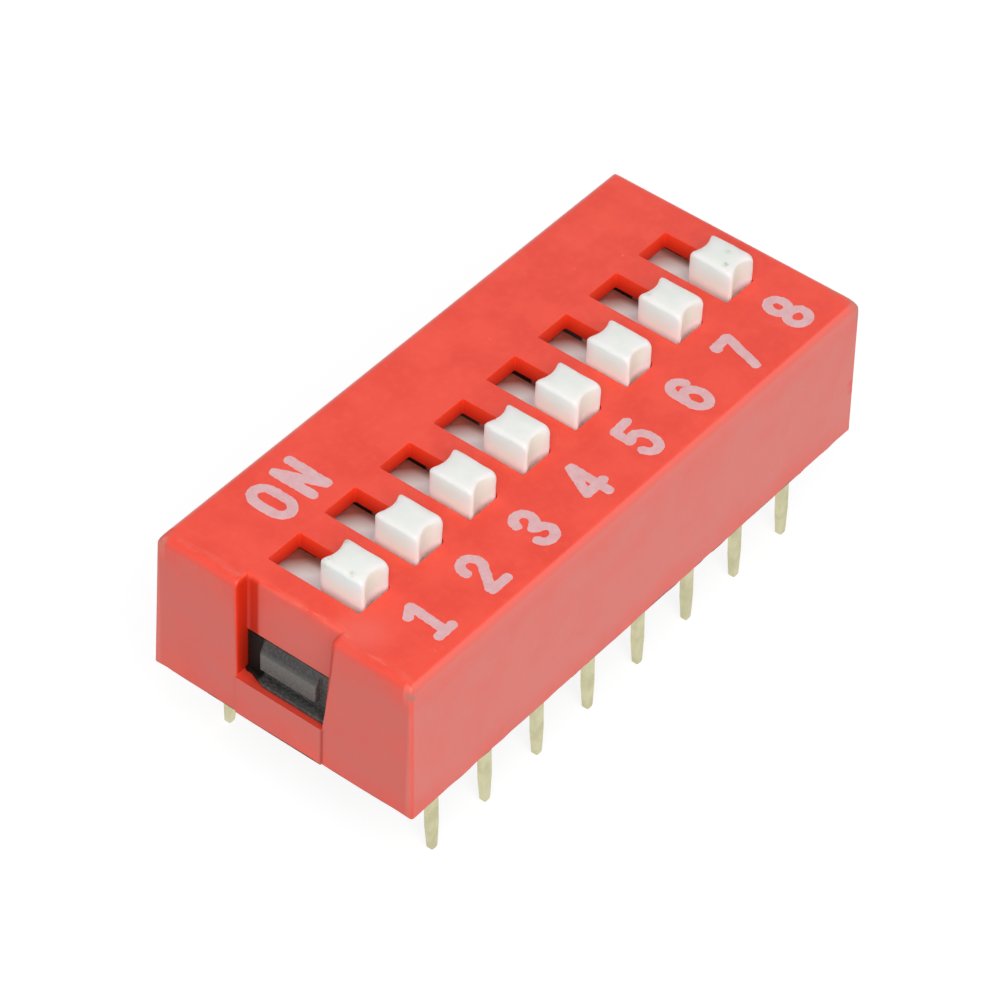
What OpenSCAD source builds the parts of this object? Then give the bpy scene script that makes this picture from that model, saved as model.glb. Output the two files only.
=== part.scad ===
// Slide DIP switch for through-hole boards: one slide knob and two pins to a position.
// +Y runs from position 1 to the last one, +X is the numbered (off) side and +Z is up.
// The origin is the centre of the seating plane, where the cover's foot meets the board.
// All sizes are in millimetres and all angles in degrees.

/* [Layout] */
// Number of switch positions
positions = 8; // [2:1:12]
// Distance from one position to the next
pitch = 2.54; // [2.3:0.02:3.2]
// Distance from the cover's foot to the middle of each row of pins
pin_inset = 1.18; // [1.08:0.01:1.4]

/* [Cover] */
// Width of the cover at its foot
cover_w = 9.98; // [9.8:0.02:12]
// Height of the cover's top above the board
cover_h = 5.35; // [5.05:0.05:6.5]
// Distance from the first or last position to the end face
end_margin = 2.11; // [2:0.01:3]
// How far each long side leans in from foot to top
side_lean = 0.18; // [0:0.02:0.3]
// Thickness of the top wall
top_t = 0.6; // [0.4:0.05:0.9]
// Thickness of the long walls at the top
side_t = 0.6; // [0.4:0.05:0.75]
// Thickness of the end walls
end_t = 1.05; // [0.9:0.05:1.2]
// Rounding of the edges round the top
edge_r = 0.28; // [0.08:0.04:0.36]
// Rounding of the four upright corners
corner_r = 0.1; // [0.1:0.05:0.5]

/* [Slots] */
// Length of a slot, along the knob's travel
slot_l = 3.46; // [3:0.02:3.7]
// Width of a slot, and of the guide below it
slot_w = 1.43; // [1.3:0.01:1.7]

/* [Channel and window] */
// Width of the channel down the first end face, at the cover's top
channel_w = 3.5; // [3:0.1:5]
// How far the channel's off side leans in from the cover's top to the strap
channel_lean = 0.2; // [0:0.02:0.3]
// Depth of the channel in the end face
channel_d = 0.5; // [0.45:0.05:0.7]
// How much deeper the channel is than the strap below the window
shutoff = 0.05; // [0.02:0.01:0.1]
// Height of the strap below the window
strap_h = 1.5; // [1.2:0.05:1.7]
// How far the strap stands proud of the end face
strap_proud = 0.05; // [0.02:0.01:0.1]
// Height of the window above the strap
window_h = 1.65; // [1.5:0.05:1.9]

/* [Knobs] */
// Length of a knob, along its travel
knob_l = 1.65; // [1.4:0.05:1.9]
// Clearance between a knob and each side of its slot
knob_gap = 0.115; // [0.1:0.005:0.2]
// Height of a knob above the cover
knob_rise = 1.05; // [0.5:0.05:2]
// Depth of the hollow in each end of a knob
scoop_d = 0.12; // [0.05:0.01:0.2]
// Width of the horns left beside each hollow
horn_w = 0.09; // [0.05:0.01:0.2]
// Rounding of a knob's top at its off end
knob_r_off = 0.34; // [0.1:0.02:0.45]
// Rounding of a knob's top at its on end
knob_r_on = 0.2; // [0.1:0.02:0.45]
// Rounding of a knob's top along its sides
knob_r_side = 0.1; // [0.05:0.01:0.2]

/* [Sliders] */
// Height of the slider that carries a knob
slider_h = 1.7; // [1.4:0.05:1.8]
// How far the slider reaches past the slot at the far end of its travel
slider_lap = 0.1; // [0.05:0.01:0.2]
// Clearance between a slider and each side of its guide
side_play = 0.09; // [0.05:0.01:0.12]
// Clearance between a knob and the slot's end at each stop
stop_gap = 0.02; // [0.01:0.01:0.04]
// Clearance between a slider's top and the cover
slide_gap = 0.05; // [0.02:0.01:0.08]
// Clearance between a slider's end and the guide's end
guide_gap = 0.06; // [0.03:0.01:0.1]
// Depth of the pocket for the contact, under the slider
pocket_h = 0.3; // [0.2:0.02:0.5]
// Clearance between the contact and each end of that pocket
pocket_gap = 0.03; // [0.01:0.01:0.1]

/* [Base] */
// Height of the base's underside above the board
base_lift = 0.3; // [0.1:0.05:0.5]
// Height of the guides' floor above the board
floor_h = 2; // [1.8:0.05:2.1]
// Clearance between the base and the cover
fit_gap = 0.03; // [0.02:0.01:0.05]
// Width of the hollow along the base's underside
hollow_w = 4.6; // [3:0.1:6]
// Depth of that hollow
hollow_d = 0.6; // [0.2:0.05:0.9]

/* [Snap catch] */
// Clearance between the catch and each side of the window
catch_side_gap = 0.05; // [0.03:0.01:0.1]
// Clearance between the catch and the strap's top
catch_gap = 0.02; // [0.01:0.01:0.05]
// Depth of the catch's nose below the end face
nose_d = 0.13; // [0.05:0.01:0.2]
// Height of the nose
nose_h = 0.15; // [0.1:0.01:0.3]
// Depth of the step in the nose at its on side
nose_step = 0.22; // [0.1:0.01:0.24]
// Width of that step
step_w = 0.25; // [0.1:0.05:0.4]
// Length of the slanted front beside the step
nose_slant = 0.6; // [0.2:0.05:1]
// Width of the boss in the middle of the window
boss_w = 2.16; // [1.8:0.02:2.4]
// Depth of the boss's front below the end face
boss_d = 0.25; // [0.2:0.01:0.35]
// Height of the boss's underside above the strap
boss_lift = 0.53; // [0.45:0.01:0.6]
// Height of the boss's front
boss_h = 0.68; // [0.5:0.02:0.8]

/* [Snap ridge] */
// Width of the ridge that holds the base at the last end
ridge_w = 3; // [2:0.1:5]
// How far the ridge stands proud of the base
ridge_d = 0.15; // [0.1:0.01:0.2]
// Height of the ridge
ridge_h = 0.5; // [0.45:0.02:0.6]
// Height of the ridge's middle above the board
ridge_z = 1.3; // [1:0.05:1.6]

/* [Terminals] */
// Width of a pin
pin_w = 0.47; // [0.4:0.01:0.6]
// Thickness of the strip that a terminal is formed from
strip_t = 0.23; // [0.18:0.01:0.3]
// Length of a pin below the board's top
pin_l = 3.8; // [2.5:0.05:5]
// How far a pin leans outward below the base
pin_splay = 3; // [0:0.5:5]
// How far the pins stand from their positions' middles along the row
pin_shift = 0.18; // [0:0.02:0.2]
// Length of a pin's tapered end
taper_l = 1; // [0.5:0.05:1.5]
// Width of a pin at its tip
tip_w = 0.3; // [0.26:0.01:0.4]
// Cut at each corner of the tip
tip_cut = 0.06; // [0.02:0.01:0.1]
// Width of a terminal's pad on the guide's floor
pad_w = 0.9; // [0.7:0.02:1.1]
// Length of the wide part of an on terminal's pad
pad_l = 1.6; // [1.2:0.05:1.8]
// Gap between the two pads of a position
pad_gap = 0.7; // [0.5:0.02:0.9]
// How far a pad reaches past the contact that rests on it
pad_land = 0.25; // [0.15:0.01:0.35]
// Bend radius in the middle of the strip
bend_r = 0.35; // [0.25:0.01:0.5]

/* [Contacts] */
// Width of a moving contact
contact_w = 0.8; // [0.6:0.02:0.9]
// Thickness of its spring strip
contact_t = 0.12; // [0.08:0.01:0.15]
// Length of the flat in the slider's pocket
crown_l = 0.9; // [0.8:0.02:1]
// Distance from the contact's middle to each tip
tip_reach = 1.15; // [1:0.01:1.3]
// Radius of the curled tips
tip_r = 0.16; // [0.12:0.01:0.2]
// Clearance between the tips and the pads
tip_gap = 0.01; // [0.005:0.005:0.02]

/* [Hidden] */
$fn = 48;
eps = 0.5;    // how far a cut runs past the face that it opens
bend_steps = 6;

// Sideways rest of each knob within its play, as a share of the play
knob_rests = [0.8, -0.1, -0.3, 0, -0.8, -0.8, -0.1, 0.8];

// A cover 9.98 wide holds its two rows of pins at the standard 7.62.
row_spacing = cover_w - 2 * pin_inset;
half_l = (positions - 1) * pitch / 2 + end_margin;
lean_angle = atan(side_lean / cover_h);
ceiling_z = cover_h - top_t;
inner_w = cover_w - 2 * (side_lean + side_t);
inner_l = 2 * (half_l - end_t);
strap_t = channel_d - shutoff;
on_side_x = -channel_w / 2;
off_side_x = channel_w / 2 - channel_lean;
window_w = off_side_x - on_side_x;
window_top = strap_h + window_h;

// A knob rests against the off end of its slot and slides by travel towards -X.
travel = slot_l - knob_l - 2 * stop_gap;
rest_x = slot_l / 2 - stop_gap - knob_l / 2;
knob_w = slot_w - 2 * knob_gap;
slider_w = slot_w - 2 * side_play;
slider_l = 2 * slot_l - knob_l + 2 * slider_lap;
slider_z = ceiling_z - slide_gap - slider_h;
slider_top = slider_z + slider_h;
knob_top = cover_h + knob_rise;

base_w = inner_w - 2 * fit_gap;
base_l = inner_l - 2 * fit_gap;
base_top = ceiling_z - fit_gap;
guide_l = 2 * rest_x + slider_l + 2 * guide_gap;

// Both tips rest on the off pad at first, and they bridge the pads at the end of the travel.
off_pad_x = rest_x - tip_reach - pad_land;
on_pad_x = off_pad_x - pad_gap;
pad_mid_z = floor_h - strip_t / 2;

// The arms of a contact run down and outward from its flat crown to the curled tips.
crown_z = slider_z + pocket_h - contact_t / 2;
tip_z = floor_h + tip_gap + contact_t / 2 + tip_r;
arm_slope = (tip_reach - tip_r - crown_l / 2) / (crown_z - tip_z);
arm_angle = atan(arm_slope);
arm_half = contact_t / 2 / cos(arm_angle);
pocket_l = crown_l + 2 * ((crown_z - slider_z) * arm_slope + arm_half + pocket_gap);

function station(i) = (i - (positions + 1) / 2) * pitch;
function knob_y(i) = station(i) + knob_rests[(i - 1) % len(knob_rests)] * side_play;

// Outline of a strip of thickness t along the middle line p, with mitred bends
function heading(a, b) = (b - a) / norm(b - a);
function left_of(v) = [-v[1], v[0]];
function edge_point(p, i, d) =
    let (
        h_in = heading(p[max(i - 1, 0)], p[max(i, 1)]),
        h_out = heading(p[min(i, len(p) - 2)], p[min(i + 1, len(p) - 1)]),
        n = left_of(h_in) + left_of(h_out)
    )
    p[i] + n * 2 * d / (n * n);
function strip_outline(p, t) = concat(
    [for (i = [0:len(p) - 1]) edge_point(p, i, t / 2)],
    [for (i = [len(p) - 1:-1:0]) edge_point(p, i, -t / 2)]
);
function arc(c, r, from, to) =
    [for (k = [0:bend_steps]) let (a = from + (to - from) * k / bend_steps) c + r * [cos(a), sin(a)]];

// Extrudes a profile drawn in X and Z along Y, or one drawn in Y and Z along X.
module along_y(l) {
    rotate([90, 0, 0]) linear_extrude(l, center = true) children();
}

module along_x(l) {
    rotate([90, 0, 90]) linear_extrude(l, center = true) children();
}

// Places at the first end, at -Y, what is drawn for the last end.
module at_first_end() {
    mirror([0, 1, 0]) children();
}

// A profile that stands on its foot, leans in at both sides and has rounded top corners
module standing_profile(w, h, lean, r) {
    a = atan(lean / h);
    cx = w / 2 - lean * (h - r) / h - r / cos(a);
    tangent = [cx + r * cos(a), h - r + r * sin(a)];
    for (s = [-1, 1]) {
        translate([s * cx, h - r]) circle(r);
    }
    polygon([[-w / 2, 0], [w / 2, 0], tangent, [cx, h], [-cx, h], [-tangent[0], tangent[1]]]);
}

// Everything on the inner side of one leaning long face, with that face's upright corners rounded
module inside_long_face() {
    translate([cover_w / 2, 0, 0]) rotate([0, -lean_angle, 0]) translate([0, 0, -eps])
    linear_extrude(cover_h + 2 * eps) {
        translate([-2 * cover_w, -half_l]) square([2 * cover_w - corner_r, 2 * half_l]);
        translate([-2 * cover_w, corner_r - half_l]) square([2 * cover_w, 2 * (half_l - corner_r)]);
        for (s = [-1, 1]) {
            translate([-corner_r, s * (half_l - corner_r)]) circle(corner_r);
        }
    }
}

module cover_outside() {
    intersection() {
        along_y(2 * half_l) standing_profile(cover_w, cover_h, side_lean, edge_r);
        along_x(cover_w) standing_profile(2 * half_l, cover_h, 0, edge_r);
        inside_long_face();
        mirror([1, 0, 0]) inside_long_face();
    }
}

// The channel down an end face, and the window that opens behind it and behind the strap
module end_opening() {
    translate([0, half_l + (eps - channel_d) / 2, 0]) along_y(channel_d + eps) polygon([
        [on_side_x, strap_h], [off_side_x, strap_h], [channel_w / 2, cover_h],
        [channel_w / 2, cover_h + eps], [on_side_x, cover_h + eps]
    ]);
    translate([on_side_x, half_l - end_t - eps, -eps])
        cube([window_w, end_t + eps - strap_t, window_top + eps]);
}

module strap() {
    translate([on_side_x, half_l - strap_t, 0]) cube([window_w, strap_t + strap_proud, strap_h]);
}

module cover() {
    color("#f0503f") difference() {
        union() {
            cover_outside();
            at_first_end() strap();
        }
        translate([-inner_w / 2, -inner_l / 2, -eps]) cube([inner_w, inner_l, ceiling_z + eps]);
        for (i = [1:positions]) {
            translate([-slot_l / 2, station(i) - slot_w / 2, ceiling_z - eps])
                cube([slot_l, slot_w, top_t + 2 * eps]);
        }
        at_first_end() end_opening();
        ridge(fit_gap);
    }
}

// The catch fills the window: a body flush with the channel's back, a thin nose over the strap, and a
// boss with a sloping top.
module catch() {
    root_y = base_l / 2 - end_t / 4;
    back_y = half_l - strap_t - fit_gap;
    nose_y = half_l - nose_d;
    on_x = on_side_x + catch_side_gap;
    off_x = off_side_x - catch_side_gap;
    head_z = window_top - fit_gap;
    boss_y = half_l - boss_d;
    boss_z = strap_h + boss_lift;
    translate([on_x, root_y, base_lift]) cube([off_x - on_x, back_y - root_y, head_z - base_lift]);
    translate([0, 0, strap_h + catch_gap]) linear_extrude(nose_h) polygon([
        [on_x, root_y], [on_x, nose_y - nose_step], [on_x + step_w, nose_y - nose_step],
        [on_x + step_w + nose_slant, nose_y], [off_x, nose_y], [off_x, root_y]
    ]);
    along_x(boss_w) polygon([
        [root_y, boss_z], [boss_y, boss_z], [boss_y, boss_z + boss_h],
        [back_y, head_z], [root_y, head_z]
    ]);
}

// A ridge along the base's last end. Grown by a clearance, it cuts its own groove in the cover.
module ridge(gap) {
    face_y = base_l / 2 + gap;
    low_z = ridge_z - ridge_h / 2 - gap;
    high_z = ridge_z + ridge_h / 2 + gap;
    along_x(ridge_w + 2 * gap) polygon([
        [face_y - end_t / 4, low_z], [face_y, low_z], [face_y + ridge_d, low_z + ridge_d],
        [face_y + ridge_d, high_z - ridge_d], [face_y, high_z], [face_y - end_t / 4, high_z]
    ]);
}

module base() {
    color("#1d1d1e") difference() {
        union() {
            translate([-base_w / 2, -base_l / 2, base_lift]) cube([base_w, base_l, base_top - base_lift]);
            at_first_end() catch();
            ridge(0);
        }
        for (i = [1:positions]) {
            translate([-guide_l / 2, station(i) - slot_w / 2, floor_h])
                cube([guide_l, slot_w, base_top]);
            terminal_off(i);
            terminal_on(i);
        }
        translate([-hollow_w / 2, end_t - half_l + pitch / 2, base_lift - eps])
            cube([hollow_w, 2 * (half_l - end_t) - pitch, hollow_d + eps]);
    }
}

// Front view of a strip that tapers at its foot, with the tip's corners cut off
module strip_front() {
    polygon([
        [-pin_w / 2, floor_h], [-pin_w / 2, taper_l - pin_l], [-tip_w / 2, tip_cut - pin_l],
        [tip_cut - tip_w / 2, -pin_l], [tip_w / 2 - tip_cut, -pin_l],
        [tip_w / 2, tip_cut - pin_l], [pin_w / 2, taper_l - pin_l], [pin_w / 2, floor_h]
    ]);
}

// A strip that lies in the guide's floor, bends down and ends as a pin at +X
module terminal(pad_x, wide_l) {
    x = row_spacing / 2;
    path = concat(
        [[pad_x, pad_mid_z]],
        arc([x - bend_r, pad_mid_z - bend_r], bend_r, 90, 0),
        [[x, 0], [x + (pin_l + eps) * tan(pin_splay), -pin_l - eps]]
    );
    translate([0, pin_shift, 0]) intersection() {
        along_y(pin_w) polygon(strip_outline(path, strip_t));
        along_x(4 * row_spacing) strip_front();
    }
    translate([pad_x, -pad_w / 2, floor_h - strip_t]) cube([wide_l, pad_w, strip_t]);
}

module terminal_off(i) {
    color("#d2cd9c") translate([0, station(i), 0]) terminal(off_pad_x, pad_l + pad_gap);
}

module terminal_on(i) {
    color("#d2cd9c") translate([0, station(i), 0]) mirror([1, 0, 0]) terminal(-on_pad_x, pad_l);
}

// The knob stands on its slider: hollow at both ends, with its top edges rounded.
module knob(i) {
    chord = knob_w - 2 * horn_w;
    scoop_r = (chord * chord / 4 + scoop_d * scoop_d) / (2 * scoop_d);
    color("#eef1ea") translate([rest_x, knob_y(i), 0]) {
        intersection() {
            translate([0, 0, slider_top]) linear_extrude(knob_top - slider_top) difference() {
                square([knob_l, knob_w], center = true);
                for (s = [-1, 1]) {
                    translate([s * (knob_l / 2 + scoop_r - scoop_d), 0]) circle(scoop_r, $fn = 96);
                }
            }
            along_y(knob_w) knob_side();
            along_x(knob_l) standing_profile(knob_w, knob_top, 0, knob_r_side);
        }
        difference() {
            translate([-slider_l / 2, -slider_w / 2, slider_z]) cube([slider_l, slider_w, slider_h]);
            translate([-pocket_l / 2, -slider_w / 2 - eps, slider_z - eps])
                cube([pocket_l, slider_w + 2 * eps, pocket_h + eps]);
        }
    }
}

// Side view of a knob, with its own rounding at each end of the top
module knob_side() {
    off_x = knob_l / 2 - knob_r_off;
    on_x = knob_l / 2 - knob_r_on;
    translate([off_x, knob_top - knob_r_off]) circle(knob_r_off);
    translate([-on_x, knob_top - knob_r_on]) circle(knob_r_on);
    polygon([
        [-knob_l / 2, slider_z], [knob_l / 2, slider_z], [knob_l / 2, knob_top - knob_r_off],
        [off_x, knob_top], [-on_x, knob_top], [-knob_l / 2, knob_top - knob_r_on]
    ]);
}

// A spring strip, flat in the slider's pocket, with an arm down to a curled tip at each side
module contact(i) {
    half = concat([[crown_l / 2, crown_z]], arc([tip_reach, tip_z], tip_r, 180 + arm_angle, 340));
    mirrored = [for (k = [len(half) - 1:-1:0]) [-half[k][0], half[k][1]]];
    color("#d9c98a") translate([rest_x, knob_y(i), 0])
        along_y(contact_w) polygon(strip_outline(concat(mirrored, half), contact_t));
}

cover();
base();
for (i = [1:positions]) {
    knob(i);
    contact(i);
    terminal_off(i);
    terminal_on(i);
}
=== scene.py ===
"""The looks of a slide DIP switch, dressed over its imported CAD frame.

Shapes are worked out in millimetres, in the part's own frame, and turned into metres as each
mesh is made. +Y runs from position 1 to the last, +X is the numbered side and +Z is up. The
first end is position 1's, and a slot's far side is the one towards the last position. The
knobs stand at OFF, which is their slots' +X end, and slide to ON along -X.
"""

import functools
import math

import bmesh
import bpy
from mathutils import Matrix, Vector, noise


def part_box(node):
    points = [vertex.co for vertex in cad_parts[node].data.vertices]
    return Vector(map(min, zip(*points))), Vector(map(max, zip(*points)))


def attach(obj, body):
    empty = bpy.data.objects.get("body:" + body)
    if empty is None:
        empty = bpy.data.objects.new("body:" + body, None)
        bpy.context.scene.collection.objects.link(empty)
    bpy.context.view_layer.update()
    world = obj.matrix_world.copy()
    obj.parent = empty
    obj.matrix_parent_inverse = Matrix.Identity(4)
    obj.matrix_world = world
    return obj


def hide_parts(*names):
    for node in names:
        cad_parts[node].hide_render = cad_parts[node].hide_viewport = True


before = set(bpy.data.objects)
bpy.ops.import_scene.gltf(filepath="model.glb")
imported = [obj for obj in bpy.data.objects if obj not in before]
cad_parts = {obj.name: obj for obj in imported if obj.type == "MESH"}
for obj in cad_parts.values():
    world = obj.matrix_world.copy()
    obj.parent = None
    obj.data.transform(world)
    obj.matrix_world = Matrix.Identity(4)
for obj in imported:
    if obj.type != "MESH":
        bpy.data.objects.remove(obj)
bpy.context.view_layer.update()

MM = 0.001


# ---------------------------------------------------------------- sizes, read from the frame

def mm_box(node):
    """A node's lowest and highest corner at rest, in millimetres."""
    low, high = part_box(node)
    return low / MM, high / MM


def centre(node):
    """Where a node's middle lies along X and Y, in millimetres."""
    low, high = mm_box(node)
    return (low.x + high.x) / 2, (low.y + high.y) / 2


def numbered(name):
    return [f"{name}_{i}" for i in range(1, POSITIONS + 1)]


POSITIONS = sum(name.startswith("knob_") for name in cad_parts)
STATIONS = [centre(node)[1] for node in numbered("terminal_off")]
FLOOR_Z = mm_box("terminal_off_1")[0].z
cover_lo, cover_hi = mm_box("cover")
knob_lo, knob_hi = mm_box("knob_1")

# The cover. Its long sides lean inward by LEAN from foot to top.
FOOT_X = cover_hi.x
LEAN = 0.18
TOP_X = FOOT_X - LEAN
TOP_Z = cover_hi.z
END_Y = cover_hi.y
END_T = 1.05
WALL_T = 0.6
CEILING_Z = TOP_Z - WALL_T
INNER_X = TOP_X - WALL_T
INNER_Y = END_Y - END_T
EDGE_R = 0.28
CORNER_R = 0.1
SLOT_HALF_L = 1.73
SLOT_HALF_W = 0.715
SLOT_R = 0.05
SLOT_MOUTH_R = 0.1

# The channel, the window and the strap are at the first end only, and a groove is inside the last end.
STRAP_Y = cover_lo.y
STRAP_T = 0.45
STRAP_H = 1.5
CHANNEL_ON_X = -1.75
CHANNEL_OFF_X = 1.55
CHANNEL_LEAN = 0.2
CHANNEL_D = 0.5
CHANNEL_OFF_R = 0.3
CHANNEL_BACK_R = 0.26
CHANNEL_ON_R = 0.14
WINDOW_TOP = 3.15
WINDOW_R = 0.04
GROOVE_HALF_W = 1.53
GROOVE_D = 0.18
GROOVE_LOW = 1.02
GROOVE_HIGH = 1.58

# The base's catch shows in the window, with a boss on it.
BOSS_Y = -END_Y + 0.25
BOSS_R = 0.07
CATCH_R = 0.03
PIN_R = 0.05

# A knob is one moulding with the slider under it, whose pocket holds the contact.
KNOB_L = 1.65
KNOB_W = 1.2
KNOB_TOP = knob_hi.z
KNOB_SCOOP_D = 0.17
KNOB_HORN_W = 0.11
KNOB_R_OFF = 0.34
KNOB_R_ON = 0.2
KNOB_R_SIDE = 0.14
KNOB_WOBBLE = 0.02
KNOB_GAP = 0.01
SLIDER_H = 1.7
SLIDER_FOOT = knob_lo.z
SLIDER_TOP = SLIDER_FOOT + SLIDER_H
SLIDER_HALF_L = (knob_hi.x - knob_lo.x) / 2
SLIDER_HALF_W = (knob_hi.y - knob_lo.y) / 2
SLIDER_LIFT = 0.04
GUIDE_GAP = 0.05
POCKET_H = 0.3
POCKET_L = 1.32


# ---------------------------------------------------------------- node graphs

class Graph:
    """A node graph, with one short call for each kind of node."""

    def __init__(self, tree):
        self.tree = tree
        tree.nodes.clear()

    def node(self, kind, sockets=None, **settings):
        """A new node. Its sockets are given by name or number."""
        made = self.tree.nodes.new(kind)
        for key, value in settings.items():
            setattr(made, key, value)
        for key, value in (sockets or {}).items():
            self.put(made.inputs[key], value)
        return made

    def put(self, socket, value):
        """Sets a socket to a value, or links it to another node's output."""
        if isinstance(value, bpy.types.NodeSocket):
            self.tree.links.new(value, socket)
        elif socket.type == "RGBA":
            socket.default_value = (*value, 1)
        else:
            socket.default_value = value

    def shader(self, kind, **sockets):
        named = {name.replace("_", " "): value for name, value in sockets.items()}
        return self.node(kind, named).outputs[0]

    def choose(self, amount, first, second):
        """One shader where amount is 0 and another where it is 1."""
        return self.node("ShaderNodeMixShader", {0: amount, 1: first, 2: second}).outputs[0]

    def output(self, kind, surface):
        self.node(kind, {"Surface": surface})

    def math(self, operation, a, b=0.0, c=0.0, clamp=False):
        sockets = {0: a, 1: b, 2: c}
        return self.node("ShaderNodeMath", sockets, operation=operation, use_clamp=clamp).outputs[0]

    def plus(self, a, b):
        return self.math("ADD", a, b)

    def minus(self, a, b):
        return self.math("SUBTRACT", a, b)

    def times(self, *values):
        return functools.reduce(lambda a, b: self.math("MULTIPLY", a, b), values)

    def most(self, *values):
        return functools.reduce(lambda a, b: self.math("MAXIMUM", a, b), values)

    def absolute(self, value):
        return self.math("ABSOLUTE", value)

    def scaled(self, value, factor, start):
        """start where value is 0 and start + factor where it is 1."""
        return self.math("MULTIPLY_ADD", value, factor, start)

    def parts(self, vector):
        """The three numbers of a vector."""
        return tuple(self.node("ShaderNodeSeparateXYZ", {0: vector}).outputs)


class Shader(Graph):
    """A material's graph, with places in millimetres in the part's own frame."""

    def __init__(self, name):
        self.material = bpy.data.materials.new(name)
        self.material.use_nodes = True
        super().__init__(self.material.node_tree)
        self.coords = self.node("ShaderNodeTexCoord")
        self.mm = self.vector("SCALE", self.coords.outputs["Object"], scale=1 / MM)
        self.x, self.y, self.z = self.parts(self.mm)

    @functools.cached_property
    def facing(self):
        """The three numbers of the way the surface faces."""
        return self.parts(self.coords.outputs["Normal"])

    def vector(self, operation, a, b=(0, 0, 0), scale=1.0):
        sockets = {0: a, "Scale": scale} if operation == "SCALE" else {0: a, 1: b}
        made = self.node("ShaderNodeVectorMath", sockets, operation=operation)
        return made.outputs["Value" if operation == "DISTANCE" else "Vector"]

    def noise(self, scale, detail=2.0, roughness=0.5, at=None):
        """Noise with scale features to a millimetre."""
        sockets = {"Vector": at or self.mm, "Scale": scale, "Detail": detail, "Roughness": roughness}
        return self.node("ShaderNodeTexNoise", sockets).outputs["Fac"]

    def ramp(self, value, start, end, smooth=True):
        """0 where value is at start or before it, and 1 where it is at end or past it."""
        kind = "SMOOTHSTEP" if smooth else "LINEAR"
        sockets = {"Value": value, "From Min": start, "From Max": end}
        return self.node("ShaderNodeMapRange", sockets, interpolation_type=kind).outputs["Result"]

    def mix(self, amount, first, second):
        """One colour where amount is 0 and another where it is 1."""
        sockets = {"Factor": amount, 6: first, 7: second}
        return self.node("ShaderNodeMix", sockets, data_type="RGBA").outputs[2]

    def channel(self, color, index):
        return self.node("ShaderNodeSeparateColor", {0: color}).outputs[index]

    def near(self, point, radius):
        """1 at a point, falling to 0 at radius."""
        return self.ramp(self.vector("DISTANCE", self.mm, point), radius, 0.0)

    def bump(self, height, depth, strength, under=None):
        """A normal bumped by a height from 0 to 1 that stands for depth in millimetres."""
        sockets = {"Height": height, "Distance": depth * MM, "Strength": strength}
        if under is not None:
            sockets["Normal"] = under
        return self.node("ShaderNodeBump", sockets).outputs["Normal"]

    def finish(self, **sockets):
        self.output("ShaderNodeOutputMaterial", self.shader("ShaderNodeBsdfPrincipled", **sockets))
        return self.material


def specks(s, per_mm, radius, share):
    """Small round specks on a share of the cells of a Voronoi pattern."""
    cells = s.node("ShaderNodeTexVoronoi", {"Vector": s.mm, "Scale": per_mm})
    chosen = s.math("LESS_THAN", s.channel(cells.outputs["Color"], 0), share)
    size = s.times(s.channel(cells.outputs["Color"], 1), radius * per_mm)
    return s.times(s.ramp(cells.outputs["Distance"], size, 0.0), chosen)


def spots(s, places):
    """1 at each of the given points and 0 past its radius."""
    return s.most(*(s.near(point, radius) for point, radius in places))


# ---------------------------------------------------------------- the red cover

RED = {
    "top": (0.88, 0.052, 0.024),
    "cloud": (0.95, 0.07, 0.035),
    "mottle": (0.97, 0.10, 0.055),
    "grain": (0.80, 0.045, 0.022),
    "dust": (0.92, 0.42, 0.34),
    # Painted sheen: the upright faces are paler than the top.
    "end_face_sheen": (0.73, 0.112, 0.081),
    "long_face_sheen": (0.84, 0.160, 0.122),
    # Painted shade on the end rims, and painted sheen on the long rims.
    "end_rim_shade": (0.82, 0.07, 0.042),
    "long_rim_sheen": (0.90, 0.150, 0.113),
    "pale_patch": (0.95, 0.125, 0.09),
    # The upright corners are a clearer red, with less of the faces' painted sheen.
    "corner_edge": (0.90, 0.07, 0.035),
    # Painted shade in the channel and on the strap, deep and dark reds.
    "channel_side": (0.74, 0.032, 0.008),
    "channel_side_deep_shade": (0.30, 0.008, 0.002),
    "ledge_back_shade": (0.27, 0.025, 0.015),
    "ledge_front_shade": (0.60, 0.055, 0.033),
    "strap_end_shade": (0.40, 0.07, 0.055),
    # Painted light and shade on the slots' walls: red light bounced between them, darkening downward.
    "slot_mouth": (1.0, 0.06, 0.02),
    "slot_foot_shade": (0.62, 0.02, 0.006),
    # A painted highlight along the top's first edge.
    "edge_highlight": (1.0, 0.24, 0.17),
    "scuff": (0.33, 0.2, 0.155),
    "nick": (0.9, 0.05, 0.02),
}
SCUFFS = (
    ((-4.75, -10.9, TOP_Z - 0.15), 0.5),
    ((-4.8, -10.9, TOP_Z - 0.6), 0.3),
    ((4.75, 10.9, TOP_Z - 0.1), 0.55),
    ((4.0, 10.9, TOP_Z - 0.1), 0.4),
    ((4.8, 10.95, TOP_Z - 0.6), 0.35),
    ((4.8, -10.95, TOP_Z - 0.35), 0.3),
)
NICKS = (
    ((4.92, 10.85, 2.05), 0.28),
    ((4.93, 10.88, 1.75), 0.26),
)
PALE_PATCH = ((2.3, -10.1, TOP_Z), 1.3)
# Where the painted highlight runs along the top's first edge, how it bends round the channel and how it
# wanders.
HIGHLIGHT_Y = 0.33 - END_Y
HIGHLIGHT_BEND = 0.27
HIGHLIGHT_WANDER = 0.22


def mottled_red(s, mottle, grain):
    """The plain red, with clouds, mottling, grain and specks of dust."""
    colour = s.mix(s.ramp(s.noise(0.7, 3.0), 0.35, 0.65), RED["top"], RED["cloud"])
    colour = s.mix(s.times(s.ramp(mottle, 0.45, 0.75), 0.35), colour, RED["mottle"])
    colour = s.mix(s.times(s.ramp(grain, 0.55, 0.8), 0.25), colour, RED["grain"])
    return s.mix(s.times(specks(s, 1.4, 0.06, 0.16), 0.5), colour, RED["dust"])


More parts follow.
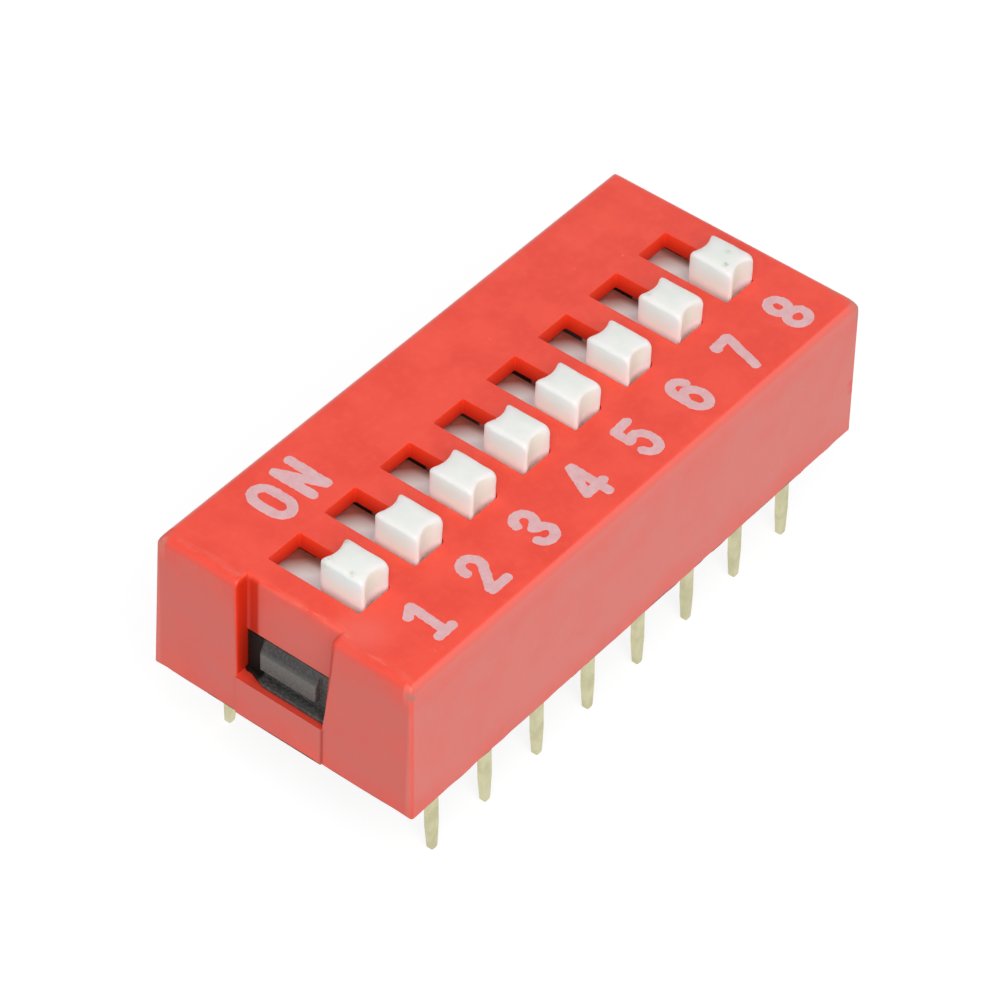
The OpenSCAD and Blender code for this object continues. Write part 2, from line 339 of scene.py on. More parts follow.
def painted_face_sheen(s, colour, end_on):
    """The upright faces are painted paler than the top, a painted sheen of reflected light, most of all in
    their middles and in soft clouds.
    """
    long_side = s.ramp(s.absolute(s.x), FOOT_X - 0.33, FOOT_X - 0.18)
    below_rim = s.ramp(s.z, TOP_Z - 0.2, TOP_Z - 1.5)
    above_foot = s.ramp(s.z, -0.2, 1.3)
    clouds = s.scaled(s.ramp(s.noise(0.45, 3.0, 0.6), 0.35, 0.62), 0.32, 0.32)
    face_sheen = s.math("MULTIPLY_ADD", s.times(below_rim, above_foot), 0.45, clouds)
    # Painted sheen on the end faces and the long faces.
    colour = s.mix(s.times(end_on, face_sheen), colour, RED["end_face_sheen"])
    return s.mix(s.times(long_side, face_sheen), colour, RED["long_face_sheen"])


def painted_rim_light_and_shade(s, colour):
    """The end rims are painted a little darker, as painted shade on their rounding, the long ones paler
    with painted sheen, and the upright corners a clearer red, with less of that painted sheen.

    A patch of the rim beside the channel is paler too.
    """
    off_x, off_y = s.absolute(s.x), s.absolute(s.y)
    outer = s.most(
        s.ramp(off_x, FOOT_X - 0.6, FOOT_X - 0.4),
        s.ramp(off_y, END_Y - 0.45, END_Y - 0.3),
    )
    rounded = s.times(s.ramp(s.facing[2], 0.99, 0.8), s.ramp(s.facing[2], 0.15, 0.5))
    # Painted shade: the rims' rounding is darker.
    colour = s.mix(s.times(rounded, outer, 0.7), colour, RED["end_rim_shade"])
    # Painted sheen: the long rims are paler, as the long faces are.
    long_rim_sheen = s.times(
        s.ramp(s.facing[2], 0.975, 0.85),
        s.ramp(s.z, TOP_Z - 1.0, TOP_Z - 0.25),
        s.ramp(off_x, FOOT_X - 0.52, FOOT_X - 0.44),
    )
    colour = s.mix(s.times(long_rim_sheen, 0.85), colour, RED["long_rim_sheen"])
    colour = s.mix(s.times(s.near(*PALE_PATCH), 0.8), colour, RED["pale_patch"])
    # The upright corners are a clearer red, with less of the faces' painted sheen.
    at_corner = s.times(
        s.ramp(off_y, END_Y - 0.16, END_Y - 0.03),
        s.ramp(s.absolute(s.facing[0]), 0.3, 0.8),
        s.ramp(off_x, FOOT_X - 0.4, FOOT_X - 0.3),
    )
    return s.mix(s.times(at_corner, 0.5), colour, RED["corner_edge"])


def shaded_channel(s, colour, end_on):
    """The channel's ON side is painted a deep red shade, with red light bounced off its walls, that spreads
    a little onto its back.

    The strap's top and its OFF end are painted dark with shade too. Returns the colour, and how shaded each
    place is but for that end.
    """
    from_end = s.plus(s.y, END_Y)
    from_side = s.absolute(s.minus(s.x, CHANNEL_ON_X))
    above_strap = s.times(s.ramp(from_end, 1.3, 0.8), s.ramp(s.z, STRAP_H, STRAP_H + 0.05))
    on_side = s.times(s.ramp(s.facing[0], 0.6, 0.95), s.ramp(from_side, 0.1, 0.05))
    on_back = s.times(
        s.ramp(from_side, 0.49, 0.36),
        s.ramp(from_end, 0.38, 0.44),
        s.scaled(s.ramp(from_side, 0.05, 0.17), 0.5, 0.5),
        end_on,
    )
    deep = s.times(s.most(on_side, on_back), above_strap)
    # Painted shade: the channel's ON side darkens deeper in and lower down.
    sunk = s.times(s.ramp(from_end, 0.02, 0.4), s.ramp(s.z, TOP_Z + 0.5, 1.0, smooth=False))
    side_shade = s.mix(sunk, RED["channel_side"], RED["channel_side_deep_shade"])
    colour = s.mix(s.times(deep, 0.85), colour, side_shade)

    # Painted shade on the strap's top, darker towards the back and milder towards the ON end.
    ledge = s.times(
        s.ramp(s.absolute(s.minus(s.z, STRAP_H)), 0.06, 0.03),
        s.ramp(from_end, 0.7, 0.6),
        s.ramp(s.facing[2], 0.3, 0.8),
    )
    ledge_shade = s.mix(s.ramp(from_end, 0.38, 0.05), RED["ledge_back_shade"], RED["ledge_front_shade"])
    ledge_level = s.scaled(s.ramp(s.x, -1.1, -1.5), -0.4, 0.9)
    colour = s.mix(s.times(ledge, ledge_level), colour, ledge_shade)

    # Painted shade where the strap's top meets the channel's OFF side.
    strap_end_shade = s.times(
        s.ramp(s.absolute(s.minus(s.x, CHANNEL_OFF_X)), 0.07, 0.02),
        s.ramp(s.z, STRAP_H + 0.03, STRAP_H - 0.1),
        s.ramp(from_end, 0.15, 0.05),
    )
    return s.mix(s.times(strap_end_shade, 0.7), colour, RED["strap_end_shade"]), s.most(deep, ledge)


def shaded_slots(s, colour):
    """The slots' walls are painted a clear red, as red light bounced between them, that deepens downward as
    painted shade. Returns the colour and where they are.
    """
    walls = s.times(
        s.ramp(s.absolute(s.facing[2]), 0.8, 0.3),
        s.ramp(s.absolute(s.x), SLOT_HALF_L + 0.12, SLOT_HALF_L + 0.04),
        s.ramp(s.absolute(s.y), INNER_Y + 0.1, INNER_Y),
    )
    depth = s.ramp(s.z, TOP_Z - 0.05, CEILING_Z, smooth=False)
    wall_bounce_and_shade = s.mix(depth, RED["slot_mouth"], RED["slot_foot_shade"])
    return s.mix(s.times(walls, 0.85), colour, wall_bounce_and_shade), walls


def painted_edge_highlight(s, colour):
    """A painted highlight, a pale line in a fainter band, both broken, follows the top's first edge and the
    channel's.
    """
    behind_channel = s.minus(s.ramp(s.x, CHANNEL_ON_X - 0.2, CHANNEL_ON_X), s.ramp(s.x, 1.6, 2.6))
    middle_y = s.math("MULTIPLY_ADD", behind_channel, HIGHLIGHT_BEND, HIGHLIGHT_Y - HIGHLIGHT_WANDER / 2)
    line_y = s.math("MULTIPLY_ADD", s.noise(1.1, 2.0), HIGHLIGHT_WANDER, middle_y)
    off_line = s.absolute(s.minus(s.y, line_y))
    drawn_out = s.vector("MULTIPLY", s.mm, (1.0, 4.0, 1.0))
    line = s.times(s.ramp(off_line, 0.06, 0.0), s.ramp(s.noise(2.0, 4.0, 0.7, at=drawn_out), 0.45, 0.65))
    band = s.times(s.ramp(off_line, 0.2, 0.03), s.ramp(s.noise(1.0, 4.0, 0.7, at=drawn_out), 0.35, 0.65))
    edge_highlight = s.most(s.times(line, 0.45), s.times(band, 0.22))
    return s.mix(s.times(edge_highlight, s.ramp(s.z, TOP_Z - 0.25, TOP_Z - 0.05)), colour, RED["edge_highlight"])


def red_plastic():
    s = Shader("red_plastic")
    mottle = s.noise(3.2, 4.0, 0.6)
    grain = s.noise(11.0, 5.0, 0.65)
    at_end = s.ramp(s.absolute(s.y), INNER_Y, INNER_Y + 0.3)
    end_on = s.times(s.ramp(s.absolute(s.facing[1]), 0.45, 0.95), at_end)
    colour = mottled_red(s, mottle, grain)
    colour = painted_face_sheen(s, colour, end_on)
    colour = painted_rim_light_and_shade(s, colour)
    colour, in_channel = shaded_channel(s, colour, end_on)
    colour, in_slot = shaded_slots(s, colour)
    colour = painted_edge_highlight(s, colour)
    scuffed = s.times(spots(s, SCUFFS), s.ramp(s.noise(6.0, 4.0, 0.7), 0.36, 0.58))
    colour = s.mix(s.times(scuffed, 0.7), colour, RED["scuff"])
    colour = s.mix(spots(s, NICKS), colour, RED["nick"])
    normal = s.bump(s.noise(0.55, 2.0), 0.03, 0.5)
    normal = s.bump(mottle, 0.008, 0.5, normal)
    normal = s.bump(grain, 0.004, 0.6, normal)

    # The channel's OFF side and what is shaded show little gloss and no sheen.
    off_side = s.times(s.ramp(s.facing[0], -0.05, -0.4), s.ramp(s.y, 0.7 - END_Y, 0.5 - END_Y))
    open_air = s.minus(1.0, s.most(in_channel, in_slot, off_side))
    return s.finish(
        Base_Color=colour,
        Roughness=s.scaled(grain, 0.16, 0.3),
        Normal=normal,
        IOR=1.5,
        Specular_IOR_Level=s.scaled(open_air, 0.4, 0.1),
        Sheen_Weight=s.times(open_air, 0.35),
        Sheen_Roughness=0.35,
    )


# ---------------------------------------------------------------- the other materials

KNOB_WHITE = {
    "top": (0.83, 0.893, 0.84),
    "cloud": (0.87, 0.928, 0.877),
    # Painted light on the knob's upright faces, its OFF face and its foot.
    "side_lit_low": (0.85, 1.0, 0.83),
    "side_lit_high": (0.73, 1.0, 0.89),
    "off_face_lit": (0.76, 0.88, 0.79),
    "foot": (1.0, 0.98, 0.86),
    "dirt": (0.38, 0.40, 0.24),
    # Painted light and shade on the slider's top: a lighter white, then red-brown and brown shade.
    "slider": (0.91, 0.97, 0.93),
    "slider_shade": (0.25, 0.045, 0.02),
    "slider_edge_shade": (0.16, 0.06, 0.035),
}
KNOB_DIRT = (            # on the knobs as they stand at rest
    ((0.2, -9.25, 6.25), 0.34),
    ((1.19, -9.27, 6.35), 0.2),
    ((0.15, -8.4, 6.35), 0.26),
    ((0.96, 9.16, 6.35), 0.17),
    ((1.25, 8.61, 6.35), 0.19),
    ((0.14, 8.65, 6.3), 0.24),
    ((1.2, 9.6, 6.3), 0.22),
    ((0.26, 5.98, 6.3), 0.2),
)


def shaded_slider(s, colour):
    """The slider's top, painted a lighter white than the knob's top, with painted shade and a painted red
    reflection of the slot's walls towards its slot's far corner at the ON end.

    It is painted brown with shade along its far edge too, and in the slot's near corner.
    """
    pitch = STATIONS[1] - STATIONS[0]
    from_first = s.minus(s.y, STATIONS[0] - pitch / 2)
    across = s.minus(s.math("FLOORED_MODULO", from_first, pitch), pitch / 2)
    slider = s.ramp(s.z, CEILING_Z + 0.03, CEILING_Z)
    # Painted light: the slider's top is a lighter white than the knob's top.
    colour = s.mix(slider, colour, KNOB_WHITE["slider"])
    from_far_side = s.minus(SLOT_HALF_W, across)
    from_corner = s.math("MULTIPLY_ADD", from_far_side, 0.9, s.plus(s.x, SLOT_HALF_L))
    level = s.scaled(s.ramp(s.y, 6.5, 8.0), -0.2, 0.95)
    shade = s.times(slider, s.ramp(from_corner, 1.62, 0.6, smooth=False), level)
    # Painted shade and painted red reflection of the slot's walls, strongest at the far ON corner.
    colour = s.mix(shade, colour, KNOB_WHITE["slider_shade"])
    near_corner = s.times(s.ramp(s.x, -1.35, -1.72), s.ramp(across, -0.2, -0.6))
    # Painted shade along the far edge and in the slot's near corner.
    edge = s.times(slider, s.most(s.ramp(across, 0.3, 0.64), near_corner))
    return s.mix(s.times(edge, 0.85), colour, KNOB_WHITE["slider_edge_shade"])


def white_plastic():
    s = Shader("white_plastic")
    cloud = s.noise(2.0, 3.0)
    grain = s.noise(14.0, 4.0, 0.6)
    colour = s.mix(s.ramp(cloud, 0.3, 0.7), KNOB_WHITE["top"], KNOB_WHITE["cloud"])
    # Painted light: the upright faces are whites of their own, lighter than the top, with another on the
    # OFF face, and the foot lighter still against the shade around it.
    side = s.mix(s.ramp(s.z, TOP_Z, TOP_Z + 0.75), KNOB_WHITE["side_lit_low"], KNOB_WHITE["side_lit_high"])
    side = s.mix(s.ramp(s.facing[0], 0.4, 0.9), side, KNOB_WHITE["off_face_lit"])
    side = s.mix(s.ramp(s.z, TOP_Z + 0.3, TOP_Z), side, KNOB_WHITE["foot"])
    colour = s.mix(s.ramp(s.absolute(s.facing[2]), 0.75, 0.25), colour, side)
    dirt = s.times(spots(s, KNOB_DIRT), s.ramp(s.noise(6.5, 5.0, 0.8), 0.38, 0.62))
    colour = s.mix(s.times(dirt, 0.75), colour, KNOB_WHITE["dirt"])
    colour = shaded_slider(s, colour)
    normal = s.bump(cloud, 0.02, 0.5)
    normal = s.bump(grain, 0.004, 0.5, normal)
    return s.finish(
        Base_Color=colour,
        Roughness=s.scaled(grain, 0.15, 0.3),
        Normal=normal,
        IOR=1.48,
        Subsurface_Weight=1.0,
        Subsurface_Radius=(0.8, 0.8, 0.7),
        Subsurface_Scale=0.9 * MM,
    )


BLACK = {
    "plain": (0.03, 0.029, 0.028),
    "cloud": (0.045, 0.042, 0.04),
    # Painted light on the boss's front, lighter towards its top.
    "boss_lit_low": (0.065, 0.056, 0.052),
    "boss_lit_high": (0.135, 0.126, 0.118),
    # Painted shade below the boss, on the catch's lip.
    "nose": (0.014, 0.019, 0.017),
    "grain": (0.17, 0.16, 0.15),
    # Painted shade on faces turned up.
    "turned_up_shade": (0.012, 0.012, 0.012),
    # Painted red reflection on the base's upper part, seen through the slots' gaps.
    "inside": (0.3, 0.09, 0.06),
    # Painted shade beside the boss.
    "beside_boss_shade": (0.006, 0.005, 0.004),
}


def black_plastic():
    """The base's plastic, with painted light and shade. The boss's front is painted the greyest, lighter
    towards its top, and painted shade makes the catch darkest beside the boss.
    """
    s = Shader("black_plastic")
    grain = s.noise(13.0, 4.0, 0.6)
    cloud = s.noise(1.6, 3.0)
    colour = s.mix(s.ramp(cloud, 0.35, 0.65), BLACK["plain"], BLACK["cloud"])
    # Painted light: the boss's front is greyer than the rest, lighter towards its top.
    on_boss = s.times(s.ramp(s.facing[1], -0.7, -0.95), s.ramp(s.y, BOSS_Y + 0.1, BOSS_Y + 0.02))
    boss_front_lit = s.mix(s.ramp(s.z, 2.1, 2.75), BLACK["boss_lit_low"], BLACK["boss_lit_high"])
    colour = s.mix(s.times(on_boss, 0.85), colour, boss_front_lit)
    # Painted shade: below the boss, where the catch's lip is, the plastic is darker.
    colour = s.mix(s.times(s.ramp(s.z, 2.05, 1.9), 0.7), colour, BLACK["nose"])
    colour = s.mix(s.times(s.ramp(grain, 0.4, 0.62), 0.45), colour, BLACK["grain"])
    # Painted shade: faces turned up, such as the catch's top under the window's top, are darker.
    colour = s.mix(s.times(s.ramp(s.facing[2], 0.2, 0.5), 0.5), colour, BLACK["turned_up_shade"])
    # Painted red reflection: the base's upper part, under the slots, is tinted red-brown as by light from
    # the red walls.
    colour = s.mix(s.times(s.ramp(s.z, 3.3, 3.6), 0.8), colour, BLACK["inside"])
    # Painted shade: the catch beside the boss is darkest, and shows less gloss.
    beside = s.ramp(s.x, -1.0, -1.12)
    colour = s.mix(s.times(beside, 0.95), colour, BLACK["beside_boss_shade"])
    normal = s.bump(cloud, 0.02, 0.4)
    normal = s.bump(grain, 0.006, 0.6, normal)
    return s.finish(
        Base_Color=colour,
        Roughness=s.scaled(grain, 0.2, 0.4),
        Normal=normal,
        IOR=1.5,
        Specular_IOR_Level=s.scaled(beside, -0.4, 0.5),
    )


def plated_metal(name, bright, dull):
    s = Shader(name)
    cloud = s.noise(1.8, 4.0, 0.6)
    drawn_out = s.vector("MULTIPLY", s.mm, (18.0, 18.0, 2.0))
    brushed = s.noise(1.0, 4.0, 0.6, at=drawn_out)
    return s.finish(
        Base_Color=s.mix(s.ramp(cloud, 0.35, 0.68), bright, dull),
        Metallic=1.0,
        Roughness=s.scaled(cloud, 0.2, 0.28),
        Normal=s.bump(brushed, 0.004, 0.6),
    )


INK = {"full": (0.76, 0.41, 0.43), "cloud": (0.80, 0.50, 0.52), "thin": (0.72, 0.33, 0.33)}


def pale_ink():
    s = Shader("pale_ink")
    thin = s.noise(9.0, 5.0, 0.7)
    colour = s.mix(s.ramp(s.noise(4.0, 4.0, 0.65), 0.3, 0.7), INK["full"], INK["cloud"])
    colour = s.mix(s.times(s.ramp(thin, 0.5, 0.75), 0.4), colour, INK["thin"])
    return s.finish(Base_Color=colour, Roughness=0.45, Normal=s.bump(thin, 0.004, 0.6))


# ---------------------------------------------------------------- meshes

SHARP_ANGLE = math.radians(30.0)
SMOOTH_ANGLE = math.radians(35.0)
FLAT_ANGLE = 0.01
MERGE_GAP = 1e-4
TINY = 1e-3              # what lies this near to a face counts as lying on it
SPARE = 1.0              # how far a cutter reaches out of the cover
OVERLAP = 0.1            # how far a cutter reaches into a hollow that is there already


def clamp(value, low=0.0, high=1.0):
    return max(low, min(high, value))


def around(ring):
    """Each item of a closed ring with the next one."""
    return list(zip(ring, ring[1:] + ring[:1]))


def link_object(name, data):
    made = bpy.data.objects.new(name, data)
    bpy.context.scene.collection.objects.link(made)
    return made


def to_object(name, bm, material):
    """Turns a millimetre bmesh into a shaded object in metres."""
    bmesh.ops.recalc_face_normals(bm, faces=bm.faces)
    bm.transform(Matrix.Scale(MM, 4))
    mesh = bpy.data.meshes.new(name)
    bm.to_mesh(mesh)
    bm.free()
    mesh.materials.append(material)
    mesh.shade_smooth()
    mesh.set_sharp_from_angle(angle=SMOOTH_ANGLE)
    made = link_object(name, mesh)
    even = made.modifiers.new("even_normals", "WEIGHTED_NORMAL")
    even.keep_sharp = True
    return made


def dress(piece, body, slot, *nodes):
    """Fits a piece to the body it moves with and hides the nodes it stands for. Its slot is not used."""
    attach(piece, body)
    if nodes:
        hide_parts(*nodes)


def mesh_of(node):
    """A node's mesh as a clean millimetre bmesh, with its flat faces made whole."""
    bm = bmesh.new()
    bm.from_mesh(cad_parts[node].data)
    bm.transform(Matrix.Scale(1 / MM, 4))
    bmesh.ops.remove_doubles(bm, verts=bm.verts, dist=MERGE_GAP)
    bmesh.ops.dissolve_limit(bm, angle_limit=FLAT_ANGLE, verts=bm.verts, edges=bm.edges)
    return bm


def sharp(edge):
    return len(edge.link_faces) == 2 and edge.calc_face_angle(0.0) > SHARP_ANGLE


def middle(edge):
    return (edge.verts[0].co + edge.verts[1].co) / 2


def is_upright(edge):
    return abs(edge.verts[0].co.z - edge.verts[1].co.z) > 0.5 * edge.calc_length()


def round_edges(bm, width, segments, chosen):
    """Rounds the sharp edges that chosen(edge) picks."""
    edges = [edge for edge in bm.edges if sharp(edge) and chosen(edge)]
    bmesh.ops.bevel(
        bm, geom=edges, offset=width, offset_type="OFFSET", segments=segments,
        profile=0.5, affect="EDGES", clamp_overlap=True,
    )


def run_modifier(bm, kind, **settings):
    """Replaces a mesh by what a Blender modifier makes of it."""
    mesh = bpy.data.meshes.new("work")
    bm.to_mesh(mesh)
    holder = link_object("work", mesh)
    modifier = holder.modifiers.new("work", kind)
    for key, value in settings.items():
        setattr(modifier, key, value)
    made = holder.evaluated_get(bpy.context.evaluated_depsgraph_get()).to_mesh()
    bm.clear()
    bm.from_mesh(made)
    bpy.data.objects.remove(holder)
    bpy.data.meshes.remove(mesh)


def combine(bm, operation, tool):
    """Adds a closed tool mesh to a mesh (UNION) or cuts it away (DIFFERENCE), and uses the tool up."""
    bmesh.ops.recalc_face_normals(tool, faces=tool.faces)
    mesh = bpy.data.meshes.new("tool")
    tool.to_mesh(mesh)
    tool.free()
    holder = link_object("tool", mesh)
    run_modifier(bm, "BOOLEAN", operation=operation, solver="EXACT", object=holder)
    bpy.data.objects.remove(holder)
    bpy.data.meshes.remove(mesh)


def round_each(bm, segments, width_of):
    """Rounds the sharp edges together, each by its own width, and none where the width is 0."""
    layer = "bevel_weight_edge"
    weight = bm.edges.layers.float.new(layer)
    widths = {edge: width_of(edge) for edge in bm.edges if sharp(edge)}
    widest = max(widths.values())
    for edge, width in widths.items():
        edge[weight] = width / widest
    run_modifier(bm, "BEVEL", limit_method="WEIGHT", width=widest, segments=segments)
    bm.edges.layers.float.remove(bm.edges.layers.float[layer])


def add_prism(bm, points, y_low, y_high, open_side=None):
    """Adds a solid with those (x, z) corners in every section across Y, and returns its two ends' corners.

    The side that starts at the corner open_side is left out.
    """
    near = [bm.verts.new((x, y_low, z)) for x, z in points]
    far = [bm.verts.new((x, y_high, z)) for x, z in points]
    bm.faces.new(near)
    bm.faces.new(far[::-1])
    for k, ((near_0, near_1), (far_0, far_1)) in enumerate(zip(around(near), around(far))):
        if k != open_side:
            bm.faces.new((near_1, near_0, far_0, far_1))
    return near, far


def prism(points, y_low, y_high):
    bm = bmesh.new()
    add_prism(bm, points, y_low, y_high)
    bmesh.ops.recalc_face_normals(bm, faces=bm.faces)
    return bm


def block(low, high):
    (x0, y0, z0), (x1, y1, z1) = low, high
    return prism([(x0, z0), (x1, z0), (x1, z1), (x0, z1)], y0, y1)


# ---------------------------------------------------------------- the cover

FOOT_DEPTH = 0.12        # how far in from the outside the moulded foot is uneven
FOOT_STEP = 0.22
FOOT_LONG = 0.6
WEAR_STEPS = 5
WORN_CORNERS = (         # corner, reach and depth
    (Vector((TOP_X, END_Y, TOP_Z)), 0.5, 0.06),
    (Vector((-TOP_X, -END_Y, TOP_Z)), 0.4, 0.04),
)


def cut_channel(bm):
    """Cuts the channel above the strap. Its OFF side leans outward as it rises."""
    slope = CHANNEL_LEAN / (TOP_Z - STRAP_H)
    section = [
        (CHANNEL_ON_X, STRAP_H),
        (CHANNEL_OFF_X, STRAP_H),
        (CHANNEL_OFF_X + CHANNEL_LEAN + SPARE * slope, TOP_Z + SPARE),
        (CHANNEL_ON_X, TOP_Z + SPARE),
    ]
    combine(bm, "DIFFERENCE", prism(section, -END_Y - SPARE, CHANNEL_D - END_Y))


def outer_width(edge):
    """The rounding of an edge of the cover's outside or of the channel's rim, or 0."""
    m = middle(edge)
    on_long_side = abs(m.x) > INNER_X
    on_end = abs(m.y) > END_Y - TINY
    channel_side_r = CHANNEL_OFF_R if m.x > 0 else CHANNEL_ON_R
    if is_upright(edge) and on_end:
        return CORNER_R if on_long_side else channel_side_r
    if m.z < TOP_Z - TINY:
        return 0.0
    if on_long_side or on_end:
        return EDGE_R
    return CHANNEL_BACK_R if m.y > CHANNEL_D - END_Y - TINY else channel_side_r


def far_corner_r(i):
    """The radius of a slot's far corner that just clears its knob's corner."""
    knob_x, knob_y = centre(f"knob_{i}")
    side_gap = STATIONS[i - 1] + SLOT_HALF_W - (knob_y + KNOB_W / 2) - KNOB_GAP
    end_gap = SLOT_HALF_L - knob_x - KNOB_L / 2
    return side_gap + end_gap + math.sqrt(2 * side_gap * end_gap)


def slot_cutter(i):
    """What cuts slot i. The far corner at its OFF end is filled as far as the knob leaves room."""
    middle_y = STATIONS[i - 1]
    far_r = far_corner_r(i)
    low = (-SLOT_HALF_L, middle_y - SLOT_HALF_W, CEILING_Z - SPARE)
    cutter = block(low, (SLOT_HALF_L, middle_y + SLOT_HALF_W, TOP_Z + SPARE))

    def corner_width(edge):
        at_far_off = middle(edge).x > 0 and middle(edge).y > middle_y
        return (far_r if at_far_off else SLOT_R) if is_upright(edge) else 0.0

    round_each(cutter, 4, corner_width)
    return cutter


def at_slot_mouth(edge):
    m = middle(edge)
    at_top = min(v.co.z for v in edge.verts) > TOP_Z - TINY
    return at_top and abs(m.x) < SLOT_HALF_L + 0.01 and abs(m.y) < INNER_Y


def at_window(edge):
    """Whether an edge is one of the longer ones of the window, the strap or the channel's foot."""
    m = middle(edge)
    in_channel = CHANNEL_ON_X - 0.01 < m.x < CHANNEL_OFF_X + 0.01
    in_end = m.y < CHANNEL_D - END_Y + 0.06
    return in_channel and in_end and m.z < WINDOW_TOP + 0.01 and edge.calc_length() > 0.06


def wave_foot(bm):
    """Makes the moulded lower edge of the outside a little uneven."""
    def at_foot(v):
        outside = abs(v.co.y) > END_Y - FOOT_DEPTH or abs(v.co.x) > FOOT_X - FOOT_DEPTH
        return v.co.z < TINY and outside

    def is_long(edge):
        return all(at_foot(v) for v in edge.verts) and edge.calc_length() > FOOT_LONG

    for edge in [edge for edge in bm.edges if is_long(edge)]:
        bmesh.ops.subdivide_edges(bm, edges=[edge], cuts=round(edge.calc_length() / FOOT_STEP))
    for v in bm.verts:
        if at_foot(v):
            slow = noise.noise(v.co * 0.6 + Vector((3, 0, 0)))
            quick = noise.noise(v.co * 2.1 + Vector((0, 7, 0)))
            v.co.z = max(0.0, 0.025 + 0.05 * slow + 0.045 * quick)


def cut_near(bm, corner, axis, distance, reach, axes):
    """Cuts the faces that lie within reach of a corner along the given axes.

    The cut lies across the one axis, at a distance inward from the corner.
    """
    def is_near(face):
        middle_of_face = face.calc_center_bounds()
        return all(abs(middle_of_face[k] - corner[k]) < reach for k in axes)

    faces = [face for face in bm.faces if is_near(face)]
    edges = list({edge for face in faces for edge in face.edges})
    verts = list({vert for face in faces for vert in face.verts})
    inward = -math.copysign(1, corner[axis]) * Vector([k == axis for k in range(3)])
    bmesh.ops.bisect_plane(
        bm, geom=verts + edges + faces, plane_co=corner + inward * distance, plane_no=inward,
    )


def wear_corner(bm, corner, reach, depth):
    """Draws the skin near a corner inward, most of all at the corner."""
    for axis in range(3):
        cut_near(bm, corner, axis, reach, reach, range(axis))
    for axis in range(3):
        for step in range(WEAR_STEPS):
            cut_near(bm, corner, axis, reach * step / WEAR_STEPS, reach, range(3))
    outward = Vector((math.copysign(1, corner.x), math.copysign(1, corner.y), 0.6))
    for v in bm.verts:
        share = max(0.0, 1 - (v.co - corner).length / reach)
        v.co -= outward * depth * share**2


def make_cover(material):
    bm = prism([(-FOOT_X, 0), (FOOT_X, 0), (TOP_X, TOP_Z), (-TOP_X, TOP_Z)], -END_Y, END_Y)
    cut_channel(bm)
    round_each(bm, 6, outer_width)
    strap = block((CHANNEL_ON_X, STRAP_Y, 0), (CHANNEL_OFF_X, STRAP_T - END_Y, STRAP_H))
    combine(bm, "UNION", strap)
    hollow = block((-INNER_X, -INNER_Y, -SPARE), (INNER_X, INNER_Y, CEILING_Z))
    window_low = (CHANNEL_ON_X, STRAP_T - END_Y, -SPARE)
    window = block(window_low, (CHANNEL_OFF_X, OVERLAP - INNER_Y, WINDOW_TOP))
    groove_low = (-GROOVE_HALF_W, INNER_Y - OVERLAP, GROOVE_LOW)
    groove = block(groove_low, (GROOVE_HALF_W, INNER_Y + GROOVE_D, GROOVE_HIGH))
    slots = [slot_cutter(i) for i in range(1, POSITIONS + 1)]
    for cutter in (hollow, window, groove, *slots):
        combine(bm, "DIFFERENCE", cutter)
    round_edges(bm, SLOT_MOUTH_R, 5, at_slot_mouth)
    round_edges(bm, WINDOW_R, 2, at_window)
    wave_foot(bm)
    for corner, reach, depth in WORN_CORNERS:
        wear_corner(bm, corner, reach, depth)
    piece = to_object("cover_shell", bm, material)
    dress(piece, "housing", "cover_red", "cover")


# ---------------------------------------------------------------- the base and the terminals

def make_base(material):
    bm = mesh_of("base")
    in_window = 0.02 - INNER_Y

    def on_boss(edge):
        return all(v.co.y < BOSS_Y + TINY and v.co.z > STRAP_H + 0.4 for v in edge.verts)

    round_edges(bm, BOSS_R, 4, on_boss)
    round_edges(bm, CATCH_R, 2, lambda edge: middle(edge).y < in_window)
    piece = to_object("base_block", bm, material)
    dress(piece, "housing", "base_black", "base")


def make_terminals(material):
    for node in numbered("terminal_off") + numbered("terminal_on"):
        bm = mesh_of(node)
        round_edges(bm, PIN_R, 3, lambda edge: middle(edge).z < 0.5)
        piece = to_object(node.replace("terminal", "pin"), bm, material)
        dress(piece, "housing", "terminal_metal", node)


# ---------------------------------------------------------------- knobs

KNOB_SEED = 3            # without a seed of its own, noise_vector differs from run to run
KNOB_CORE = 0.36         # how far inside the skin lie the places that it is drawn out from
KNOB_GRID = (22, 20, 18)
SEARCH_STEPS = 24


def smooth_max(a, b, blend):
    """The greater of two distances, blended where they are nearly the same."""
    h = max(blend - abs(a - b), 0.0) / blend
    return max(a, b) + h * h * blend / 4


def rounded_corner(x, z, corner_x, corner_z, radius):
    """Distance outside a quarter plane below and left of a corner with that radius."""
    dx, dz = x - (corner_x - radius), z - (corner_z - radius)
    if dx > 0 and dz > 0:
        return math.hypot(dx, dz) - radius
    return max(dx, dz) - radius


def knob_distance(p):
    """Distance outside the skin of a knob whose middle is at x = 0 and y = 0."""
    chord = KNOB_W - 2 * KNOB_HORN_W
    scoop_r = (chord * chord / 4 + KNOB_SCOOP_D**2) / (2 * KNOB_SCOOP_D)
    scoop_x = KNOB_L / 2 + scoop_r - KNOB_SCOOP_D
    off_end = rounded_corner(p.x, p.z, KNOB_L / 2, KNOB_TOP, KNOB_R_OFF)
    on_end = rounded_corner(-p.x, p.z, KNOB_L / 2, KNOB_TOP, KNOB_R_ON)
    sides = rounded_corner(abs(p.y), p.z, KNOB_W / 2, KNOB_TOP, KNOB_R_SIDE)
    scoop = scoop_r - math.hypot(abs(p.x) - scoop_x, p.y)
    skin = smooth_max(off_end, on_end, 0.05)
    skin = smooth_max(skin, sides, 0.1)
    return smooth_max(skin, scoop, 0.06)


